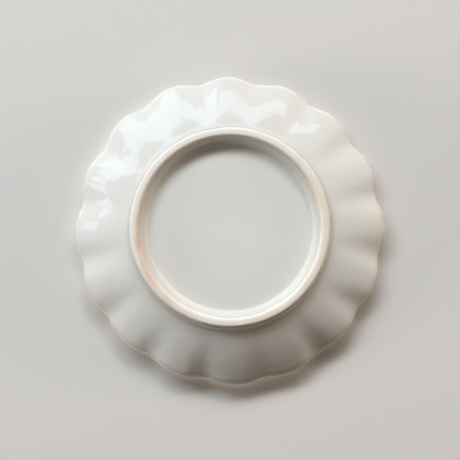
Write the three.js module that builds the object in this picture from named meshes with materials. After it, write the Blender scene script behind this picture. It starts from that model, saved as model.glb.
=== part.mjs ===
// A small stoneware plate with a scalloped edge, standing on its foot ring: the fired clay body,
// the glaze over its face, lip and flank, and the glaze in the well inside the foot ring.
// Millimetres. +Z points out of the eating face, and the foot rests on the plane z = 0.

import * as THREE from "three";
import { mergeGeometries, mergeVertices } from "three/addons/utils/BufferGeometryUtils.js";

// Overall form. The section is drawn through the top of a lobe, where the plate is widest.
const RIM_DIAMETER = 160;
const WALL_THICKNESS = 4.4;
const FLOOR_THICKNESS = 4;
const WELL_ROUNDING = 14;

// The flank leaves the foot at one angle and meets the lip at another. The bend between them is
// rounded over a share of the room that the roundings at foot and lip leave.
const WALL_ANGLE_FOOT = THREE.MathUtils.degToRad(18.5);
const WALL_ANGLE_LIP = THREE.MathUtils.degToRad(28.5);
const WALL_BEND_SHARE = 0.85;

// Lip: how far its rounding reaches down the face and down the flank.
const LIP_REACH_FACE = 2.8;
const LIP_REACH_FLANK = 3;

// Scalloped edge: each notch between two lobes is pressed in towards the axis and lifted a little.
const LOBES = 16;
const NOTCH_DEPTH = 2.2;
const NOTCH_LIFT = 1.1;
const LOBE_FULLNESS = 0.16;
const FLUTE_FADE = 0.95;

// Foot ring: a tapered ring with a flat bare crown. The foot well is the recess inside it.
const FOOT_CROWN_DIAMETER = 95.8;
const FOOT_CROWN_WIDTH = 3.8;
const FOOT_CROWN_ROUNDING = 0.8;
const FOOT_WALL_RUN_INSIDE = 3;
const FOOT_WALL_RUN_OUTSIDE = 1.6;
const FOOT_HEIGHT_OUTSIDE = 3.5;
const FOOT_WELL_DEPTH = 6.2;
const FOOT_ROUNDING = 1.7;

// Glaze: its thickness, what is left of it at its edge, and how high the foot was wiped bare.
const GLAZE_THICKNESS = 0.45;
const GLAZE_EDGE_THICKNESS = 0.15;
const GLAZE_LINE_OUTSIDE = 1.1;
const GLAZE_LINE_INSIDE = 1.5;

// Smoothness of the curved surfaces, in steps along the section and round each lobe.
const FACETS_PER_LOBE = 6;
const BEND_STEPS = 4;
const ROUNDING_STEPS = 3;
const LIP_STEPS = 4;
const CROWN_STEPS = 2;
const WELD_DISTANCE = 1e-4;

const glaze = new THREE.MeshStandardMaterial({ color: 0xe9e4d8, roughness: 0.22, metalness: 0 });
const bareClay = new THREE.MeshStandardMaterial({ color: 0xc8a888, roughness: 0.85, metalness: 0 });

// Places in the section, as radius and height.
const clayRim = RIM_DIAMETER / 2 - GLAZE_THICKNESS;
const lipEdge = WALL_THICKNESS / Math.cos(WALL_ANGLE_LIP);
const faceFloor = FOOT_WELL_DEPTH + FLOOR_THICKNESS;
const crownInside = new THREE.Vector2((FOOT_CROWN_DIAMETER - FOOT_CROWN_WIDTH) / 2, 0);
const crownOutside = new THREE.Vector2((FOOT_CROWN_DIAMETER + FOOT_CROWN_WIDTH) / 2, 0);
const wellFoot = new THREE.Vector2(crownInside.x - FOOT_WALL_RUN_INSIDE, FOOT_WELL_DEPTH);
const flankFoot = new THREE.Vector2(crownOutside.x + FOOT_WALL_RUN_OUTSIDE, FOOT_HEIGHT_OUTSIDE);
const halfRun = (clayRim - flankFoot.x) / 2;
const flankBend = risen(flankFoot, halfRun, WALL_ANGLE_FOOT);
const lipUnder = risen(flankBend, halfRun, WALL_ANGLE_LIP);
const bendRoomFoot = flankFoot.distanceTo(flankBend) - FOOT_ROUNDING;
const bendRoomLip = flankBend.distanceTo(lipUnder) - LIP_REACH_FLANK;
const bendReach = WALL_BEND_SHARE * Math.min(bendRoomFoot, bendRoomLip);
const lipTop = new THREE.Vector2(clayRim, lipUnder.y + lipEdge);
const faceFoot = new THREE.Vector2(clayRim - (lipTop.y - faceFloor) / Math.tan(WALL_ANGLE_LIP), faceFloor);
const glazeLineInside = pointAtHeight(crownInside, wellFoot, GLAZE_LINE_INSIDE);
const glazeLineOutside = pointAtHeight(crownOutside, flankFoot, GLAZE_LINE_OUTSIDE);

function risen(from, run, angle) {
  return new THREE.Vector2(from.x + run, from.y + run * Math.tan(angle));
}

function pointAtHeight(from, to, height) {
  return from.clone().lerp(to, (height - from.y) / (to.y - from.y));
}

// A corner of the section, rounded off over its reach along the lines before and after it.
function rounded(at, reachBefore, reachAfter, steps) {
  return { at, reachBefore, reachAfter, steps };
}

// The points of a stretch of the section, from its start through rounded corners to its end.
function sectionLine(start, corners, end) {
  const stops = [start, ...corners.map((each) => each.at), end];
  const points = [start];
  const runTo = (target) => {
    if (points.at(-1).distanceTo(target) > WELD_DISTANCE) points.push(target);
  };
  corners.forEach(({ at, reachBefore, reachAfter, steps }, index) => {
    const before = stops[index].clone().sub(at).setLength(reachBefore).add(at);
    const after = stops[index + 2].clone().sub(at).setLength(reachAfter).add(at);
    runTo(before);
    points.push(...new THREE.QuadraticBezierCurve(before, at, after).getPoints(steps).slice(1));
  });
  runTo(end);
  return points;
}

// How far the edge is pressed at an angle: 0 on top of a lobe, 1 in the middle of a notch.
function notch(angle) {
  const turn = LOBES * angle;
  return (1 - LOBE_FULLNESS - Math.cos(turn) + LOBE_FULLNESS * Math.cos(2 * turn)) / 2;
}

// Flutes: the press grows from nothing at the foot of the flank to the full notch at the lip.
function pressNotches(geometry) {
  const position = geometry.getAttribute("position");
  const spot = new THREE.Vector3();
  for (let index = 0; index < position.count; index++) {
    spot.fromBufferAttribute(position, index);
    const radius = Math.hypot(spot.x, spot.y);
    const outwards = (radius - flankFoot.x) / (clayRim - flankFoot.x);
    if (outwards <= 0) continue;
    const press = outwards ** FLUTE_FADE * notch(Math.atan2(spot.y, spot.x));
    const drawnIn = 1 - (NOTCH_DEPTH * press) / radius;
    position.setXYZ(index, spot.x * drawnIn, spot.y * drawnIn, spot.z + NOTCH_LIFT * press);
  }
  return geometry;
}

// A stretch of the section turned about the axis. Its faces point to the right of the stretch.
function sheet(line) {
  const geometry = new THREE.LatheGeometry(line, LOBES * FACETS_PER_LOBE);
  geometry.rotateX(Math.PI / 2);
  return pressNotches(geometry);
}

function turnedOver(geometry) {
  const corners = geometry.getIndex();
  for (let start = 0; start < corners.count; start += 3) {
    const first = corners.getX(start);
    corners.setX(start, corners.getX(start + 1));
    corners.setX(start + 1, first);
  }
  return geometry;
}

// Sheets joined edge to edge into one closed body, without the empty triangles on the axis.
function closedBody(name, sheets, material) {
  const joined = mergeGeometries(sheets);
  joined.deleteAttribute("normal");
  joined.deleteAttribute("uv");
  const body = mergeVertices(joined, WELD_DISTANCE);
  const corners = [...body.getIndex().array];
  const kept = [];
  for (let start = 0; start < corners.length; start += 3) {
    const triangle = corners.slice(start, start + 3);
    if (new Set(triangle).size === 3) kept.push(...triangle);
  }
  body.setIndex(kept);
  body.computeVertexNormals();
  const mesh = new THREE.Mesh(body, material);
  mesh.name = name;
  return mesh;
}

// The outer surface of the glaze on a stretch of the clay, thinner at its edge on the foot ring.
function glazeSurface(line, edge) {
  return line.map((point, index) => {
    const before = line[Math.max(index - 1, 0)];
    const after = line[Math.min(index + 1, line.length - 1)];
    const along = after.clone().sub(before).normalize();
    const outwards = new THREE.Vector2(along.y, -along.x);
    const thickness = index === edge ? GLAZE_EDGE_THICKNESS : GLAZE_THICKNESS;
    return point.clone().addScaledVector(outwards, thickness);
  });
}

// A coat of glaze: its outer surface, its edge on the foot ring, and the clay's own surface under it.
function glazeCoat(name, clayLine, edge) {
  const outerLine = glazeSurface(clayLine, edge);
  const edgeLine = edge === 0 ? [clayLine[edge], outerLine[edge]] : [outerLine[edge], clayLine[edge]];
  return closedBody(name, [sheet(outerLine), sheet(edgeLine), turnedOver(sheet(clayLine))], glaze);
}

// The clay's section, from the middle of the foot well round the foot and the lip to the face.
const wellLine = sectionLine(
  new THREE.Vector2(0, FOOT_WELL_DEPTH),
  [rounded(wellFoot, FOOT_ROUNDING, FOOT_ROUNDING, ROUNDING_STEPS)],
  glazeLineInside,
);
const bareLine = sectionLine(
  glazeLineInside,
  [crownInside, crownOutside].map((edge) => rounded(edge, FOOT_CROWN_ROUNDING, FOOT_CROWN_ROUNDING, CROWN_STEPS)),
  glazeLineOutside,
);
const faceLine = sectionLine(
  glazeLineOutside,
  [
    rounded(flankFoot, FOOT_ROUNDING, FOOT_ROUNDING, ROUNDING_STEPS),
    rounded(flankBend, bendReach, bendReach, BEND_STEPS),
    rounded(lipUnder, LIP_REACH_FLANK, lipEdge / 2, LIP_STEPS),
    rounded(lipTop, lipEdge / 2, LIP_REACH_FACE, ROUNDING_STEPS),
    rounded(faceFoot, WELL_ROUNDING, WELL_ROUNDING, BEND_STEPS),
  ],
  new THREE.Vector2(0, faceFloor),
);

const plate = new THREE.Group();
plate.add(closedBody("stoneware_body", [sheet(wellLine), sheet(bareLine), sheet(faceLine)], bareClay));
plate.add(glazeCoat("glaze_coat", faceLine, 0));
plate.add(glazeCoat("foot_well_glaze", wellLine, wellLine.length - 1));

export default plate;
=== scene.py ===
"""A scalloped stoneware plate: ivory glaze over a pale clay body, with a bare foot ring."""

import math

import bpy
import numpy as np
from mathutils import Matrix, Vector, noise


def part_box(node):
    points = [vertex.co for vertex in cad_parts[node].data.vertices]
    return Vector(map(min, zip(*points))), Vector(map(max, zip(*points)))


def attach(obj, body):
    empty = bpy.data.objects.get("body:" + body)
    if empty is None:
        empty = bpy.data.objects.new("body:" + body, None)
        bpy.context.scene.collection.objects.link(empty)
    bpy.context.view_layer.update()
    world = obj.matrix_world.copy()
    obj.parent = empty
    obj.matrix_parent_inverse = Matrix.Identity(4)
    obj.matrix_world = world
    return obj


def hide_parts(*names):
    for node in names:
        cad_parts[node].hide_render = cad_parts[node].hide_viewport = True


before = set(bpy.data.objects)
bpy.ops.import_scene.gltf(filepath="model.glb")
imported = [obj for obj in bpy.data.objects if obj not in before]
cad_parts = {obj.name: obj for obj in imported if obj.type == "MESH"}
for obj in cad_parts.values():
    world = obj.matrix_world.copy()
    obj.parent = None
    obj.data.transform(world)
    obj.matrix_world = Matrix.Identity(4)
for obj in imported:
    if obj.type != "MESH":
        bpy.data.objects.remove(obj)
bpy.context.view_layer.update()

MM = 0.001


def linear(red, green, blue):
    """A colour given by its screen values from 0 to 255."""
    channels = [value / 255 for value in (red, green, blue)]
    return (*[c / 12.92 if c <= 0.04045 else ((c + 0.055) / 1.055) ** 2.4 for c in channels], 1.0)


# Sizes of the plate in millimetres, as its solids have them.
RIM_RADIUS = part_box("glaze_coat")[1].x / MM
WALL_ANGLE_FOOT = math.radians(18.5)
WALL_ANGLE_LIP = math.radians(28.5)
WALL_BEND_SHARE = 0.85
WALL_THICKNESS = 4.4
FLOOR_THICKNESS = 4.0
WELL_ROUNDING = 14.0
LIP_REACH_FACE = 2.8
LIP_REACH_FLANK = 3.0
LOBES = 16
NOTCH_DEPTH = 2.2
NOTCH_LIFT = 1.1
LOBE_FULLNESS = 0.16
FLUTE_FADE = 0.95
FOOT_CROWN_RADIUS = 47.9
FOOT_CROWN_WIDTH = 3.8
FOOT_WALL_RUN_INSIDE = 3.0
FOOT_WALL_RUN_OUTSIDE = 1.6
FOOT_HEIGHT_OUTSIDE = 3.5
FOOT_WELL_DEPTH = 6.2
FOOT_ROUNDING = 1.7
GLAZE_THICKNESS = 0.45
GLAZE_EDGE_THICKNESS = 0.15
GLAZE_LINE_OUTSIDE = 1.1
GLAZE_LINE_INSIDE = 1.5

# What hand and kiln added: lengths in millimetres, waves counted round the plate, angles in degrees.
FOOT_CROWN_ROUNDING = 1.25
OVALNESS = 0.3
OVAL_ANGLE = 36
RIM_UNEVENNESS = 0.3
RIM_WAVES = (3, 4, 5, 15, 17)
RIM_SEED = 3
LIP_UNEVENNESS = 0.2
LIP_WAVES = (2, 3, 9)
LIP_SEED = 5
SOFTER_ANGLE = 90
SOFTER_SPREAD = 60
FLUTE_FADE_CHANGE = 0.6
NOTCH_LIFT_CHANGE = -0.55
WIPE_UNEVENNESS = 0.35
WIPE_WAVES = (3, 5, 8, 14)
WIPE_SEED_OUTSIDE = 7
WIPE_SEED_INSIDE = 9
WIPE_SLIDE_WIDTH = 2.5
GLAZE_EDGE_WIDTH = 1.2
GLAZE_WAVE = 0.06
GLAZE_WAVE_LENGTH = 9.0
GLAZE_WAVE_INCREMENT = 0.6
GLAZE_WAVE_LACUNARITY = 2.2
GLAZE_WAVE_OCTAVES = 3
CALM_MIDDLE = 60.0

# Smoothness: segments round the plate, and steps along the section where it shows and where it doesn't.
SEGMENTS_PER_LOBE = 24
SEGMENTS = LOBES * SEGMENTS_PER_LOBE
SHOWN = {"round_steps": 12, "run_step": 1.3}
HIDDEN = {"round_steps": 4, "run_step": 14.0}
CROWN = {"round_steps": 8, "run_step": 0.5}
SHORTEST_RUN = 0.001
SHARP_ANGLE = math.radians(50)
TINY = 1e-12

# Glaze. A texture has its scale per metre, its detail, and the range that it is spread over.
IVORY = linear(219, 215, 206)
IVORY_WARM = linear(216, 210, 198)
# The glaze inside the foot well is the same glaze painted paler: painted light in the recess.
IVORY_WELL_PAINTED_LIGHT = linear(227, 223, 214)
IVORY_WELL_WARM_PAINTED_LIGHT = linear(224, 218, 206)
THIN_GLAZE = linear(222, 209, 190)
# The next colour darkens the glaze on the foot's walls: partly thin glaze, partly painted shade.
WALL_GLAZE_AND_PAINTED_SHADE = linear(203, 199, 188)
IRON_SPECK = linear(96, 82, 70)
CLOUD = {"scale": 22, "detail": 3, "low": 0.35, "high": 0.7}
MOTTLE = {"scale": 260, "detail": 4, "low": 0.4, "high": 0.75, "to_high": 0.35}
GLAZE_ROUGHNESS = {"scale": 140, "detail": 2, "low": 0.3, "high": 0.7, "to_low": 0.025, "to_high": 0.05}
PEEL = {"scale": 240, "detail": 2}
PEEL_BUMP = {"Strength": 0.5, "Distance": 0.14 * MM}
SPECK_CELLS = 48.0
SPECK_EDGE = {"low": 0.008, "high": 0.016, "to_low": 1.0, "to_high": 0.0}
SPECK_RARITY = 0.78
GLAZE_IOR = 1.52

# Where the glaze is thin, in millimetres along the section: on the lip's crest and at the glaze's edge. From
# that edge to the end of the foot's wall it is darker too, partly thin glaze and partly painted shade.
THIN_SHARE = 0.25
CREST_THIN_WIDTH = 1.6
CREST_THIN_SHARE = 0.5
EDGE_THIN_WIDTH = 1.0
WALL_END_OUTSIDE = (1.5, 5.0)
WALL_END_INSIDE = (3.0, 6.0)

# Bare clay, with textures as the glaze has them.
CLAY_PALE = linear(239, 234, 225)
CLAY_TAN = linear(236, 220, 199)
# The next colour darkens the bare foot's shoulders: painted shade.
CLAY_WALL_PAINTED_SHADE = linear(214, 208, 197)
# The toasted colour is the kiln's flashing, made darker as painted shade.
CLAY_TOASTED_AND_PAINTED_SHADE = linear(218, 174, 134)
TAN_CLOUD = {"scale": 90, "detail": 3, "low": 0.3, "high": 0.7, "to_low": -0.3, "to_high": 0.3}
GRAIN = {"scale": 1000, "detail": 5}
GRAIN_TAN = {"low": 0.48, "high": 0.7, "to_high": 0.6}
GRAIN_PALE = {"low": 0.3, "high": 0.45, "to_low": 0.6, "to_high": 0.0}
GRAIN_ROUGHNESS = {"low": 0.3, "high": 0.7, "to_low": 0.72, "to_high": 0.92}
GRAIN_BUMP = {"Strength": 0.5, "Distance": 0.15 * MM}

# Where the kiln coloured the foot, and where warm shade is painted on it. Across its crown, 0 is the inner
# edge and 1 the outer one. A tan patch has its side of the crown, its angle and spread in degrees, and its
# share.
CLAY_UNEVENNESS = 0.25
CLAY_WAVES = (4, 7, 13, 19, 27)
CLAY_SEED = 11
TAN_OUTER = (-0.3, 0.7)
TAN_INNER = (-0.1, 0.4)
TAN_AND_WARM_SHADE_PATCHES = [
    # Partly painted warm shade: this outer patch lies on the foot's side that faces away from the key light.
    ("outer", 48, 62, 1.0),
    ("both", -18, 30, 0.5),
    # Partly painted warm shade: this inner patch lies in the shadow that the crown casts on the inner wall.
    ("inner", -110, 75, 0.8),
    ("inner", 70, 60, 0.3),
]
TOASTED_ANGLE = 165
TOASTED_SPREAD = 42
TOASTED_SHARE = 0.75
TOASTED_MIDDLE = 0.1
TOASTED_DRIFT = 0.6
TOASTED_WIDTH = 0.48
# Where the shoulders are darkened as painted shade, across the crown.
SHOULDER_INSIDE = (-0.1, 0.2)
SHOULDER_OUTSIDE = (0.8, 1.1)

# Stage, in metres: the plate stands on one floor, and seen from below it lies face down on another.
BACKGROUND = linear(232, 230, 226)
FLOOR_COLOUR = linear(212, 209, 204)
FLOOR_COLOUR_BELOW = linear(220, 214, 206)
FLOOR_ROUGHNESS = 0.9
FLOOR_SPECULAR = 0.1
FLOOR_RADIUS = 3.0
FLOOR_FADE_START = 0.35
FLOOR_FADE_END = 0.9
FLOOR_GAP_FOOT = 0.1 * MM
FLOOR_GAP_FACE = 0.3 * MM
CARD_COLOUR = (1.0, 0.96, 0.9, 1.0)
CARD_STRENGTH = 0.8
CARD_RADIUS = 60 * MM
CARD_DEPTH = 30 * MM
CARD_SIDES = 48

# Room: what the glaze mirrors of it is bright sides, at these azimuths and elevations, and a pale sky.
ROOM_STRENGTH = 0.03
ROOM_COLOUR = (1.0, 0.5, 0.15, 1.0)
MIRRORED_COLOUR = (0.96, 1.0, 0.98, 1.0)
SHEEN_LEFT = (207, 36)
SHEEN_RIGHT = (5, 36)
SHEEN_START = math.cos(math.radians(54))
SHEEN_END = math.cos(math.radians(8))
SHEEN_STRENGTH = 1.3
SKY_START = -0.02
SKY_END = 0.1
SKY_STRENGTH = 0.4

# Lamps: azimuth and elevation in degrees, distance, width and height in metres, power in watts, colour.
# Directions are those of the picture for the lamps below, and start at +X for the lamps above.
COOL_LIGHT = (0.87, 0.99, 1.12)
WARM_LIGHT = (1.12, 1.0, 0.9)
SIDE_LIGHT = (1.04, 1.0, 0.98)
SOFT_LIGHT = (1.0, 0.99, 0.975)
FILL_LIGHT = (0.98, 0.99, 1.0)
LAMPS_BELOW = {
    "key_below": (110, 31.2, 3.0, 3.6, 0.57, 127.0, COOL_LIGHT),
    "right_key_below": (65, 30, 3.0, 1.2, 0.6, 26.0, WARM_LIGHT),
    "left_side_below": (194, 9, 1.5, 0.6, 0.3, 11.4, SIDE_LIGHT),
    "right_side_below": (2, 9, 1.5, 0.6, 0.3, 8.4, WARM_LIGHT),
}
LAMPS_ABOVE = {
    "softbox_above": (150, 55, 1.2, 1.0, 1.0, 15.5, SOFT_LIGHT),
    "fill_above": (30, 76, 1.3, 1.0, 1.0, 5.0, FILL_LIGHT),
}

# Panes that the glaze mirrors as one bright band: azimuth, elevation, width and height in degrees.
PANES = [
    (64.5, 26, 16, 9),
    (87.5, 28.5, 30, 13),
    (122, 25.5, 36, 20),
    (146, 28, 11, 10),
    (157, 25.5, 7, 7),
    (169, 24, 11, 9),
]
PANE_DISTANCE = 1.0
PANE_RADIANCE = 2.1
PANE_LIGHT = (0.8, 1.0, 1.38)

# Camera, in metres and degrees. Its sensor is in millimetres.
CAMERA_DISTANCE = 0.46
CAMERA_TILT = 4.0
CAMERA_SIDE = -88
CAMERA_ROLL = -1.31
CAMERA_SENSOR = 36
CAMERA_CLIP_START = 0.01
RIM_PLANE = 18.3 * MM
AIM_DOWN = 0.56 * MM
PICTURE_WIDTH_AT_RIM = 238.8 * MM


# Unevenness round the plate

angles = np.arange(SEGMENTS) * (2 * math.pi / SEGMENTS)


def wobble(amplitude, waves, seed):
    """A slow, repeatable unevenness round the plate: one value for each segment."""
    phases = np.random.default_rng(seed).uniform(0, 2 * math.pi, len(waves))
    parts = [np.cos(wave * angles + phase) for wave, phase in zip(waves, phases)]
    return amplitude * np.sum(parts, axis=0) / math.sqrt(len(waves))


def toward(degrees, spread):
    """1 at an angle round the plate, falling to nothing either side of it."""
    away = np.angle(np.exp(1j * (angles - math.radians(degrees))))
    return np.exp(-((away / math.radians(spread)) ** 2))


def eased(values, low, high):
    """0 below low, 1 above high, and a smooth rise between them."""
    share = np.clip((values - low) / (high - low), 0, 1)
    return share * share * (3 - 2 * share)


# Section of the clay, as radius and height

def point(radius, height):
    return np.array([radius, height], float)


def unit(vector):
    return vector / np.linalg.norm(vector)


clay_rim = RIM_RADIUS - GLAZE_THICKNESS
lip_edge = WALL_THICKNESS / math.cos(WALL_ANGLE_LIP)
face_floor = FOOT_WELL_DEPTH + FLOOR_THICKNESS
crown_inside = point(FOOT_CROWN_RADIUS - FOOT_CROWN_WIDTH / 2, 0)
crown_outside = point(FOOT_CROWN_RADIUS + FOOT_CROWN_WIDTH / 2, 0)
well_foot = point(crown_inside[0] - FOOT_WALL_RUN_INSIDE, FOOT_WELL_DEPTH)
flank_foot = point(crown_outside[0] + FOOT_WALL_RUN_OUTSIDE, FOOT_HEIGHT_OUTSIDE)
half_run = (clay_rim - flank_foot[0]) / 2
flank_bend = flank_foot + point(half_run, half_run * math.tan(WALL_ANGLE_FOOT))
lip_under = flank_bend + point(half_run, half_run * math.tan(WALL_ANGLE_LIP))
lip_top = point(clay_rim, lip_under[1] + lip_edge)
bend_room_foot = np.linalg.norm(flank_bend - flank_foot) - FOOT_ROUNDING
bend_room_lip = np.linalg.norm(lip_under - flank_bend) - LIP_REACH_FLANK
bend_reach = WALL_BEND_SHARE * min(bend_room_foot, bend_room_lip)
face_foot = point(clay_rim - (lip_top[1] - face_floor) / math.tan(WALL_ANGLE_LIP), face_floor)
glaze_line_inside = crown_inside + (well_foot - crown_inside) * GLAZE_LINE_INSIDE / well_foot[1]
glaze_line_outside = crown_outside + (flank_foot - crown_outside) * GLAZE_LINE_OUTSIDE / flank_foot[1]


def section_line(start, corners, end, round_steps, run_step):
    """Points of a stretch of the section, through corners rounded off over their reach before and after."""
    stops = [start, *(at for at, _, _ in corners), end]
    line = [start]

    def run_to(target):
        origin = line[-1]
        length = np.linalg.norm(target - origin)
        if length < SHORTEST_RUN:
            return
        steps = math.ceil(length / run_step)
        line.extend(origin + (target - origin) * step / steps for step in range(1, steps + 1))

    for index, (at, reach_before, reach_after) in enumerate(corners):
        before = at + unit(stops[index] - at) * reach_before
        after = at + unit(stops[index + 2] - at) * reach_after
        run_to(before)
        for step in range(1, round_steps + 1):
            t = step / round_steps
            line.append((1 - t) ** 2 * before + 2 * t * (1 - t) * at + t**2 * after)
    run_to(end)
    return np.array(line)


def well_line(smoothness):
    """The clay from the middle of the foot well to the glaze line on the foot's inner wall."""
    corners = [(well_foot, FOOT_ROUNDING, FOOT_ROUNDING)]
    return section_line(point(0, FOOT_WELL_DEPTH), corners, glaze_line_inside, **smoothness)


def bare_line(smoothness):
    """The bare clay over the foot's crown, from glaze line to glaze line."""
    corners = [(edge, FOOT_CROWN_ROUNDING, FOOT_CROWN_ROUNDING) for edge in (crown_inside, crown_outside)]
    return section_line(glaze_line_inside, corners, glaze_line_outside, **smoothness)


def face_line(smoothness):
    """The clay from the glaze line on the foot's outer wall over flank and lip to the middle of the face."""
    corners = [
        (flank_foot, FOOT_ROUNDING, FOOT_ROUNDING),
        (flank_bend, bend_reach, bend_reach),
        (lip_under, LIP_REACH_FLANK, lip_edge / 2),
        (lip_top, lip_edge / 2, LIP_REACH_FACE),
        (face_foot, WELL_ROUNDING, WELL_ROUNDING),
    ]
    return section_line(glaze_line_outside, corners, point(0, face_floor), **smoothness)


def distance_along(line):
    steps = np.linalg.norm(np.diff(line, axis=0), axis=1)
    return np.concatenate([[0], np.cumsum(steps)])


def glazed(line, from_edge):
    """The glaze's surface over a line of clay, thinning towards its edge."""
    along = np.gradient(line, axis=0)
    along /= np.linalg.norm(along, axis=1, keepdims=True)
    outwards = np.stack([along[:, 1], -along[:, 0]], axis=1)
    added = (GLAZE_THICKNESS - GLAZE_EDGE_THICKNESS) * eased(from_edge, 0, GLAZE_EDGE_WIDTH)
    surface = line + outwards * (GLAZE_EDGE_THICKNESS + added)[:, None]
    surface[line[:, 0] == 0, 0] = 0
    return surface


# Surfaces: the section turned about the axis, as rows of points

def notch(turn):
    """How far the edge is pressed: 0 on top of a lobe, 1 in the middle of a notch."""
    return (1 - LOBE_FULLNESS - np.cos(turn) + LOBE_FULLNESS * np.cos(2 * turn)) / 2


def uneven_rim():
    """How far the rim is out of round: a little oval, and a slow wobble."""
    oval = OVALNESS * np.cos(2 * (angles - math.radians(OVAL_ANGLE)))
    return oval + wobble(RIM_UNEVENNESS, RIM_WAVES, RIM_SEED)


def turned(line, slide=None, slide_direction=None):
    """A section line turned and pressed into lobes: an array of rows, segments and x, y, z."""
    radius = np.repeat(line[:, :1], SEGMENTS, axis=1)
    height = np.repeat(line[:, 1:], SEGMENTS, axis=1)
    if slide is not None:
        radius = radius + slide * slide_direction[0]
        height = height + slide * slide_direction[1]
    softer = toward(SOFTER_ANGLE, SOFTER_SPREAD)
    fade = FLUTE_FADE + FLUTE_FADE_CHANGE * softer
    lift = NOTCH_LIFT + NOTCH_LIFT_CHANGE * softer
    outwards = np.clip((radius - flank_foot[0]) / (clay_rim - flank_foot[0]), 0, None) ** fade
    press = outwards * notch(LOBES * angles)
    drawn = radius - NOTCH_DEPTH * press + outwards * uneven_rim()
    lifted = height + lift * press + outwards * wobble(LIP_UNEVENNESS, LIP_WAVES, LIP_SEED)
    return np.stack([drawn * np.cos(angles), drawn * np.sin(angles), lifted], axis=2)


def glaze_wave(spot):
    """How thick the glaze runs at a spot."""
    place = Vector(spot / GLAZE_WAVE_LENGTH)
    return noise.fractal(place, GLAZE_WAVE_INCREMENT, GLAZE_WAVE_LACUNARITY, GLAZE_WAVE_OCTAVES)


def waved(grid, strength):
    """Glaze runs a little thick and thin: each row moves along its normals by its own strength."""
    down = np.gradient(grid, axis=0)
    across = np.roll(grid, -1, axis=1) - np.roll(grid, 1, axis=1)
    normals = np.cross(across, down)
    normals /= np.linalg.norm(normals, axis=2, keepdims=True) + TINY
    waves = np.zeros(grid.shape[:2])
    for row, share in enumerate(strength):
        if share > 0:
            waves[row] = [share * glaze_wave(spot) for spot in grid[row]]
    waves *= np.clip(np.linalg.norm(grid[:, :, :2], axis=2) / CALM_MIDDLE, 0, 1) ** 2
    return grid + normals * (GLAZE_WAVE * waves)[:, :, None]


def coated(line, reach, shown, slide_direction, seed):
    """A coat of glaze: its edge wiped unevenly, and waves where it shows, away from that edge."""
    slide = np.clip(1 - reach / WIPE_SLIDE_WIDTH, 0, 1)[:, None] * wobble(WIPE_UNEVENNESS, WIPE_WAVES, seed)
    strength = np.where(shown, np.clip(reach / WIPE_SLIDE_WIDTH - 1, 0, 1), 0)
    return waved(turned(line, slide, slide_direction), strength)


def mesh_order(values):
    """A grid's values in the order of a mesh's points: one for each end on the axis, with rings between."""
    return np.concatenate([values[:1, 0], *values[1:-1], values[-1:, 0]])


def lathe_piece(name, grid, attributes, material, node):
    """A closed piece from rows of points whose first and last rows lie on the axis."""
    rows, columns = grid.shape[:2]
    spots = mesh_order(grid) * MM
    last_spot = len(spots) - 1
    last_ring = rows - 3

    def ring(row, column):
        return 1 + row * columns + column % columns

    faces = [(0, ring(0, c + 1), ring(0, c)) for c in range(columns)]
    for row in range(last_ring):
        for c in range(columns):
            faces.append((ring(row, c), ring(row, c + 1), ring(row + 1, c + 1), ring(row + 1, c)))
    faces.extend((last_spot, ring(last_ring, c), ring(last_ring, c + 1)) for c in range(columns))
    mesh = bpy.data.meshes.new(name)
    mesh.from_pydata([tuple(spot) for spot in spots], [], faces)
    mesh.validate()
    for attribute, values in attributes.items():
        flat = mesh_order(np.broadcast_to(values, (rows, columns))).astype(np.float32)
        mesh.attributes.new(attribute, "FLOAT", "POINT").data.foreach_set("value", flat)
    mesh.shade_smooth()
    mesh.set_sharp_from_angle(angle=SHARP_ANGLE)
    mesh.materials.append(material)
    piece = bpy.data.objects.new(name, mesh)
    bpy.context.scene.collection.objects.link(piece)
    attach(piece, "root")
    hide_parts(node)


# Materials

def shader_tree(name):
    """A new material with its node tree and its shader."""
    material = bpy.data.materials.new(name)
    material.use_nodes = True
    tree = material.node_tree
    return material, tree, tree.nodes["Principled BSDF"]


def add(tree, kind, settings=None, **inputs):
    """A node with its settings. Inputs, by name or as in0, in1 and so on, are linked or set to values."""
    made = tree.nodes.new(kind)
    for key, value in (settings or {}).items():
        setattr(made, key, value)
    for key, value in inputs.items():
        socket = made.inputs[int(key[2:])] if key.startswith("in") else made.inputs[key]
        if isinstance(value, bpy.types.NodeSocket):
            tree.links.new(value, socket)
        else:
            socket.default_value = value
    return made


def attribute_value(tree, name):
    return add(tree, "ShaderNodeAttribute", {"attribute_name": name}).outputs["Fac"]


def calculated(tree, operation, first, second, clamped=False):
    settings = {"operation": operation, "use_clamp": clamped}
    return add(tree, "ShaderNodeMath", settings, in0=first, in1=second).outputs[0]


def mixed(tree, factor, first, second):
    blend = add(tree, "ShaderNodeMix", {"data_type": "RGBA"}, in0=factor, in6=first, in7=second)
    return blend.outputs[2]


def mixed_shaders(tree, factor, first, second):
    return add(tree, "ShaderNodeMixShader", None, in0=factor, in1=first, in2=second).outputs[0]


def ranged(tree, value, low, high, to_low=0.0, to_high=1.0):
    spread = add(tree, "ShaderNodeMapRange", None, in0=value, in1=low, in2=high, in3=to_low, in4=to_high)
    return spread.outputs[0]


def noise_value(tree, coordinates, scale, detail):
    texture = add(tree, "ShaderNodeTexNoise", None, Vector=coordinates, Scale=scale, Detail=detail)
    return texture.outputs["Fac"]


def noise_range(tree, coordinates, scale, detail, **limits):
    return ranged(tree, noise_value(tree, coordinates, scale, detail), **limits)


def iron_specks(tree, coordinates):
    """Small round specks in a few of the cells that the glaze is divided into."""
    cells = add(tree, "ShaderNodeTexVoronoi", None, Vector=coordinates, Scale=SPECK_CELLS)
    near = ranged(tree, cells.outputs["Distance"], **SPECK_EDGE)
    chosen = add(tree, "ShaderNodeSeparateColor", None, Color=cells.outputs["Color"]).outputs[0]
    rare = calculated(tree, "GREATER_THAN", chosen, SPECK_RARITY)
    return calculated(tree, "MULTIPLY", near, rare)


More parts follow.
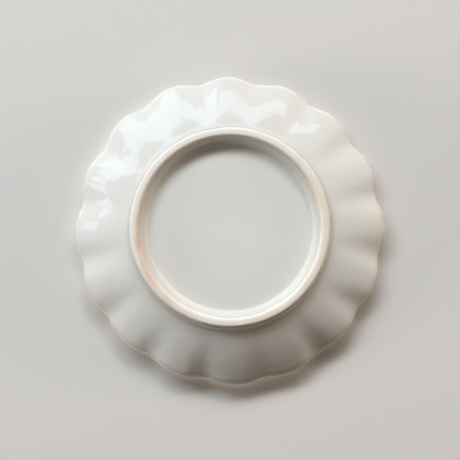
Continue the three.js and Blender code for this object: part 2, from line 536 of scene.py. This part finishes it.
def glaze_material(name, ivory, warm):
    """Glossy, slightly rippled glaze: cloudy, mottled, specked, warmer or darker where it is thin, and
    darker on the foot's walls: partly thin glaze, partly painted shade.
    """
    material, tree, shader = shader_tree(name)
    coordinates = add(tree, "ShaderNodeTexCoord").outputs["Object"]
    thin = ranged(tree, attribute_value(tree, "thin"), 0, 1, to_high=THIN_SHARE)
    colour = mixed(tree, noise_range(tree, coordinates, **CLOUD), ivory, warm)
    colour = mixed(tree, noise_range(tree, coordinates, **MOTTLE), colour, warm)
    colour = mixed(tree, thin, colour, THIN_GLAZE)
    # Darker glaze on the foot's walls: partly thin glaze, partly painted shade.
    colour = mixed(tree, attribute_value(tree, "wall"), colour, WALL_GLAZE_AND_PAINTED_SHADE)
    colour = mixed(tree, iron_specks(tree, coordinates), colour, IRON_SPECK)
    peel = noise_value(tree, coordinates, **PEEL)
    bump = add(tree, "ShaderNodeBump", None, Height=peel, **PEEL_BUMP)
    tree.links.new(colour, shader.inputs["Base Color"])
    tree.links.new(noise_range(tree, coordinates, **GLAZE_ROUGHNESS), shader.inputs["Roughness"])
    tree.links.new(bump.outputs["Normal"], shader.inputs["Normal"])
    shader.inputs["IOR"].default_value = GLAZE_IOR
    return material


def clay_material():
    """Matt, grainy clay: pale, with tan and toasted patches, both partly painted shade, and darker on the
    foot's shoulders as painted shade.
    """
    material, tree, shader = shader_tree("bare_stoneware")
    coordinates = add(tree, "ShaderNodeTexCoord").outputs["Object"]
    grain = noise_value(tree, coordinates, **GRAIN)
    cloud = noise_range(tree, coordinates, **TAN_CLOUD)
    tan = calculated(tree, "ADD", attribute_value(tree, "tan"), cloud, clamped=True)
    colour = mixed(tree, tan, CLAY_PALE, CLAY_TAN)
    # Painted shade on the foot's shoulders.
    colour = mixed(tree, attribute_value(tree, "wall"), colour, CLAY_WALL_PAINTED_SHADE)
    # Toasted clay, partly painted shade.
    colour = mixed(tree, attribute_value(tree, "toasted"), colour, CLAY_TOASTED_AND_PAINTED_SHADE)
    colour = mixed(tree, ranged(tree, grain, **GRAIN_TAN), colour, CLAY_TAN)
    colour = mixed(tree, ranged(tree, grain, **GRAIN_PALE), colour, CLAY_PALE)
    bump = add(tree, "ShaderNodeBump", None, Height=grain, **GRAIN_BUMP)
    tree.links.new(colour, shader.inputs["Base Color"])
    tree.links.new(ranged(tree, grain, **GRAIN_ROUGHNESS), shader.inputs["Roughness"])
    tree.links.new(bump.outputs["Normal"], shader.inputs["Normal"])
    return material


# Pieces

def fired_clay(grid):
    """Where the kiln turned the bare foot tan or toasted it, partly as painted shade, and where shade is
    painted on its shoulders.
    """
    across = (np.linalg.norm(grid[:, :, :2], axis=2) - crown_inside[0]) / FOOT_CROWN_WIDTH
    uneven = 1 + wobble(CLAY_UNEVENNESS, CLAY_WAVES, CLAY_SEED)
    sides = {"outer": eased(across, *TAN_OUTER), "inner": 1 - eased(across, *TAN_INNER), "both": 1}
    tan = sum(share * sides[side] * toward(angle, spread) for side, angle, spread, share in TAN_AND_WARM_SHADE_PATCHES)
    band_middle = TOASTED_MIDDLE + TOASTED_DRIFT * (math.radians(TOASTED_ANGLE) - angles)
    band = np.exp(-(((across - band_middle) / TOASTED_WIDTH) ** 2))
    toasted = TOASTED_SHARE * band * toward(TOASTED_ANGLE, TOASTED_SPREAD)
    # Painted shade on both shoulders of the foot.
    wall = 1 - eased(across, *SHOULDER_INSIDE) + eased(across, *SHOULDER_OUTSIDE)
    return {"toasted": np.clip(toasted * uneven, 0, 1), "tan": np.clip(tan * uneven, 0, 1), "wall": wall}


def make_clay_body():
    """The fired clay, which shows on the foot's crown."""
    line = np.concatenate([well_line(HIDDEN)[:-1], bare_line(CROWN), face_line(HIDDEN)[1:]])
    grid = turned(line)
    lathe_piece("clay_body", grid, fired_clay(grid), clay_material(), "stoneware_body")


def make_glaze_skin(material):
    """The coat over flank, lip and face: along the clay to its edge, and back along the glaze's surface."""
    under = face_line(HIDDEN)
    over = face_line(SHOWN)
    from_edge = distance_along(over)
    line = np.concatenate([under[::-1], glazed(over, from_edge)])
    reach = np.concatenate([distance_along(under)[::-1], from_edge])
    shown = np.arange(len(line)) >= len(under)
    grid = coated(line, reach, shown, unit(flank_foot - crown_outside), WIPE_SEED_OUTSIDE)
    crest = np.argmax(line[:, 1])
    from_crest = np.where(shown, np.abs(reach - reach[crest]), np.inf)
    thin_crest = CREST_THIN_SHARE * np.exp(-((from_crest / CREST_THIN_WIDTH) ** 2))
    thin = np.clip(thin_crest + np.exp(-((reach / EDGE_THIN_WIDTH) ** 2)), 0, 1)
    # Darker glaze from the edge up the foot's outer wall: partly thin glaze, partly painted shade.
    wall = 1 - eased(reach, *WALL_END_OUTSIDE)
    looks = {"thin": thin[:, None], "wall": wall[:, None]}
    lathe_piece("glaze_skin", grid, looks, material, "glaze_coat")


def make_foot_well_skin(material):
    """The coat inside the foot ring: along the glaze's surface to its edge, and back along the clay."""
    over = well_line(SHOWN)
    under = well_line(HIDDEN)[::-1]
    from_edge = distance_along(over[::-1])[::-1]
    line = np.concatenate([glazed(over, from_edge), under])
    reach = np.concatenate([from_edge, distance_along(under)])
    shown = np.arange(len(line)) < len(over)
    grid = coated(line, reach, shown, unit(well_foot - crown_inside), WIPE_SEED_INSIDE)
    # Darker glaze from the edge along the foot's inner wall: partly thin glaze, partly painted shade.
    wall = 1 - eased(reach, *WALL_END_INSIDE)
    lathe_piece("foot_well_skin", grid, {"wall": wall[:, None]}, material, "foot_well_glaze")


# Stage

def floor_material(name, colour):
    """Pale and matt on its front, clear from behind, fading into the background with distance."""
    material, tree, shader = shader_tree(name)
    shader.inputs["Base Color"].default_value = colour
    shader.inputs["Roughness"].default_value = FLOOR_ROUGHNESS
    shader.inputs["Specular IOR Level"].default_value = FLOOR_SPECULAR
    behind = add(tree, "ShaderNodeNewGeometry").outputs["Backfacing"]
    coordinates = add(tree, "ShaderNodeTexCoord").outputs["Object"]
    distance = add(tree, "ShaderNodeVectorMath", {"operation": "LENGTH"}, in0=coordinates).outputs["Value"]
    far = add(tree, "ShaderNodeEmission", None, Color=BACKGROUND, Strength=1.0).outputs[0]
    fade = ranged(tree, distance, FLOOR_FADE_START, FLOOR_FADE_END)
    faded = mixed_shaders(tree, fade, shader.outputs[0], far)
    clear = add(tree, "ShaderNodeBsdfTransparent").outputs[0]
    one_sided = mixed_shaders(tree, behind, faded, clear)
    tree.links.new(one_sided, tree.nodes["Material Output"].inputs["Surface"])
    return material


def place_floor(name, spots, faces, height, material, mirrored):
    """A flat piece of the stage, which neither shades nor lights the plate, and may show in its gloss."""
    mesh = bpy.data.meshes.new(name)
    mesh.from_pydata([(x, y, 0) for x, y in spots], [], faces)
    mesh.materials.append(material)
    floor = bpy.data.objects.new(name, mesh)
    floor.location.z = height
    floor.visible_diffuse = False
    floor.visible_glossy = mirrored
    floor.visible_transmission = False
    floor.visible_shadow = False
    bpy.context.scene.collection.objects.link(floor)
    return floor


def make_floor(name, height, material):
    """A floor that faces up, under the foot."""
    corners = [(x * FLOOR_RADIUS, y * FLOOR_RADIUS) for x, y in ((-1, -1), (1, -1), (1, 1), (-1, 1))]
    place_floor(name, corners, [(0, 1, 2, 3)], height, material, mirrored=False)


def make_floor_ring(name, height, material):
    """A floor that faces down, round the lip. It is open where the plate is."""
    outline = turned(np.array([[clay_rim, 0.0]]))[0, :, :2] * MM
    far = outline / np.linalg.norm(outline, axis=1, keepdims=True) * FLOOR_RADIUS
    faces = []
    for c in range(SEGMENTS):
        after = (c + 1) % SEGMENTS
        faces.append((c, after, SEGMENTS + after, SEGMENTS + c))
    place_floor(name, np.concatenate([outline, far]), faces, height, material, mirrored=True)


def make_card():
    """A pale card under the plate, which only the glaze shows."""
    material, tree, _ = shader_tree("pale_card")
    glow = add(tree, "ShaderNodeEmission", None, Color=CARD_COLOUR, Strength=CARD_STRENGTH).outputs[0]
    tree.links.new(glow, tree.nodes["Material Output"].inputs["Surface"])
    turns = [2 * math.pi * side / CARD_SIDES for side in range(CARD_SIDES)]
    spots = [(CARD_RADIUS * math.cos(turn), CARD_RADIUS * math.sin(turn)) for turn in turns]
    card = place_floor("card_under_plate", spots, [range(CARD_SIDES)], -CARD_DEPTH, material, mirrored=True)
    card.visible_camera = False


# Light and camera

def above_direction(azimuth, elevation):
    """A direction in degrees anticlockwise from +X, and up from the floor."""
    turn = math.radians(azimuth)
    rise = math.radians(elevation)
    return Vector((math.cos(turn) * math.cos(rise), math.sin(turn) * math.cos(rise), math.sin(rise)))


def picture_direction(azimuth, elevation):
    """A direction in degrees anticlockwise from the picture's right, and up towards its viewer."""
    return above_direction(-azimuth, -elevation)


def make_lamp(name, direction, distance, width, height, power, colour, lights=True, shines=True):
    """A rectangular lamp that faces the plate. It may only light it, or only show in its gloss."""
    light = bpy.data.lights.new(name, "AREA")
    light.shape = "RECTANGLE"
    light.size = width
    light.size_y = height
    light.energy = power
    light.color = colour
    lamp = bpy.data.objects.new(name, light)
    lamp.location = direction * distance
    lamp.rotation_mode = "QUATERNION"
    lamp.rotation_quaternion = (-direction).to_track_quat("-Z", "Y")
    lamp.visible_diffuse = lights
    lamp.visible_glossy = shines
    bpy.context.scene.collection.objects.link(lamp)


def make_pane(name, azimuth, elevation, across, up):
    """A bright pane that shows in the gloss only."""
    direction = picture_direction(azimuth, elevation)
    width = 2 * PANE_DISTANCE * math.tan(math.radians(across / 2)) * math.cos(math.radians(elevation))
    height = 2 * PANE_DISTANCE * math.tan(math.radians(up / 2))
    power = PANE_RADIANCE * math.pi * width * height
    make_lamp(name, direction, PANE_DISTANCE, width, height, power, PANE_LIGHT, lights=False)


def sheen(tree, direction, side):
    """A soft bright side of the room, as the glaze mirrors it."""
    axis = picture_direction(*side)
    facing = add(tree, "ShaderNodeVectorMath", {"operation": "DOT_PRODUCT"}, in0=direction, in1=axis)
    soft = add(
        tree, "ShaderNodeMapRange", {"interpolation_type": "SMOOTHSTEP"},
        in0=facing.outputs["Value"], in1=SHEEN_START, in2=SHEEN_END, in3=0.0, in4=SHEEN_STRENGTH,
    )
    return soft.outputs[0]


def make_world():
    """A faint warm room. The camera sees the background, and gloss shows bright sides and a pale sky."""
    world = bpy.data.worlds.new("soft_room")
    world.use_nodes = True
    tree = world.node_tree
    room = tree.nodes["Background"]
    room.inputs["Color"].default_value = ROOM_COLOUR
    room.inputs["Strength"].default_value = ROOM_STRENGTH
    direction = add(tree, "ShaderNodeTexCoord").outputs["Generated"]
    sides = calculated(tree, "ADD", sheen(tree, direction, SHEEN_LEFT), sheen(tree, direction, SHEEN_RIGHT))
    height = add(tree, "ShaderNodeSeparateXYZ", None, Vector=direction).outputs["Z"]
    sky = ranged(tree, height, SKY_START, SKY_END, to_high=SKY_STRENGTH)
    bright = calculated(tree, "ADD", sides, sky)
    mirrored = add(tree, "ShaderNodeBackground", None, Color=MIRRORED_COLOUR, Strength=bright).outputs[0]
    seen = add(tree, "ShaderNodeBackground", None, Color=BACKGROUND, Strength=1.0).outputs[0]
    rays = add(tree, "ShaderNodeLightPath")
    unseen = mixed_shaders(tree, rays.outputs["Is Glossy Ray"], room.outputs[0], mirrored)
    surroundings = mixed_shaders(tree, rays.outputs["Is Camera Ray"], unseen, seen)
    tree.links.new(surroundings, tree.nodes["World Output"].inputs["Surface"])
    bpy.context.scene.world = world


def make_camera():
    """Looks up at the foot from below, which shows the plate as it lies on its face."""
    data = bpy.data.cameras.new("camera")
    data.sensor_width = CAMERA_SENSOR
    data.lens = CAMERA_SENSOR * CAMERA_DISTANCE / PICTURE_WIDTH_AT_RIM
    data.clip_start = CAMERA_CLIP_START
    tilt = math.radians(CAMERA_TILT)
    target = Vector((0, AIM_DOWN, RIM_PLANE))
    back = picture_direction(CAMERA_SIDE, 0) * math.sin(tilt) + Vector((0, 0, -1)) * math.cos(tilt)
    up_hint = picture_direction(90 + CAMERA_ROLL, 0)
    right = (-back).cross(up_hint).normalized()
    up = right.cross(-back)
    rotation = Matrix((right, up, back)).transposed()
    camera = bpy.data.objects.new("camera", data)
    camera.matrix_world = Matrix.Translation(target + back * CAMERA_DISTANCE) @ rotation.to_4x4()
    bpy.context.scene.collection.objects.link(camera)
    bpy.context.scene.camera = camera


# The scene

make_camera()
make_world()
make_clay_body()
make_glaze_skin(glaze_material("ivory_glaze", IVORY, IVORY_WARM))
# The foot well's glaze is painted paler than the rest: painted light.
make_foot_well_skin(glaze_material("ivory_glaze_in_foot_painted_light", IVORY_WELL_PAINTED_LIGHT, IVORY_WELL_WARM_PAINTED_LIGHT))

make_floor("floor_under_foot", -FLOOR_GAP_FOOT, floor_material("pale_floor", FLOOR_COLOUR))
floor_at_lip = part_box("glaze_coat")[1].z + FLOOR_GAP_FACE
make_floor_ring("floor_under_face", floor_at_lip, floor_material("pale_floor_below", FLOOR_COLOUR_BELOW))
make_card()

for name, (azimuth, elevation, *rest) in LAMPS_BELOW.items():
    make_lamp(name, picture_direction(azimuth, elevation), *rest, shines=False)
for number, pane in enumerate(PANES):
    make_pane(f"window_pane_{number}", *pane)
for name, (azimuth, elevation, *rest) in LAMPS_ABOVE.items():
    make_lamp(name, above_direction(azimuth, elevation), *rest)

bpy.context.scene.view_settings.view_transform = "Standard"
